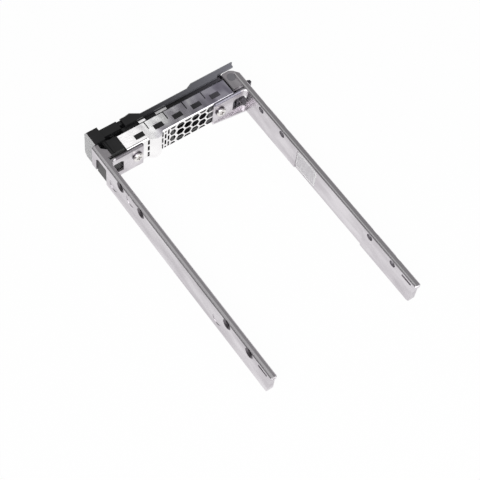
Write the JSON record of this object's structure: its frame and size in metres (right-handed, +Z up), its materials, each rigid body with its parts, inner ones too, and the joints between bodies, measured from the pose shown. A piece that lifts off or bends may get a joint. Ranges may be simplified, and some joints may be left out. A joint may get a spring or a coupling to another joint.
{
  "type": "hot swap drive carrier",
  "caption": "Open frame carrier for a 2.5-inch drive: two metal side rails, a perforated shield at the front, and a swinging handle with a release button.",
  "frame": {"origin": "middle of the drive bay's width, at the front end of the button-side rail, at the height of the front block's underside, where the carrier rests", "axes": "+X across, towards the release button's side; +Y from the front face towards the rear of the rails; +Z up"},
  "size_m": [0.0795, 0.1357, 0.0152],
  "materials": {
    "cast_rail": "cast and machined light metal, satin",
    "spring_steel": "bright rolled stainless sheet",
    "black_plastic": "moulded black plastic, satin",
    "pale_plastic": "pale grey moulded plastic",
    "clear_plastic": "clear moulded light guide",
    "bright_screw": "nickel plated steel",
    "steel_pin": "turned steel",
    "spring_wire": "drawn spring wire",
    "cast_lever": "dark cast light metal"
  },
  "bodies": {
    "carrier": {"button_side_rail": "cast_rail", "hinge_side_rail": "cast_rail", "emi_shield": "spring_steel", "front_frame": "black_plastic", "end_plate": "pale_plastic", "light_pipe_lower": "clear_plastic", "light_pipe_upper": "clear_plastic", "tab_screw_button_side": "bright_screw", "tab_screw_hinge_side": "bright_screw", "hinge_pin": "steel_pin", "hinge_washer_lower": "steel_pin", "hinge_washer_upper": "steel_pin", "lever_spring": "spring_wire", "button_spring": "spring_wire"},
    "lever": {"lever_arm": "cast_lever", "handle_cover": "black_plastic", "handle_screw_outer": "bright_screw", "handle_screw_inner": "bright_screw"},
    "button": {"release_button": "black_plastic"}
  },
  "joints": [
    {"name": "lever_pivot", "type": "hinge", "parent": "carrier", "child": "lever", "pos_m": [-0.03345, 0.0014, 0.0074], "axis": [0, 0, -1], "range_deg": [0, 40]},
    {"name": "button_push", "type": "slide", "parent": "carrier", "child": "button", "axis": [0, 1, 0], "range_m": [0, 0.0016], "stiffness_N_per_m": 300, "springref_m": -0.001, "deforming": ["button_spring"]}
  ]
}
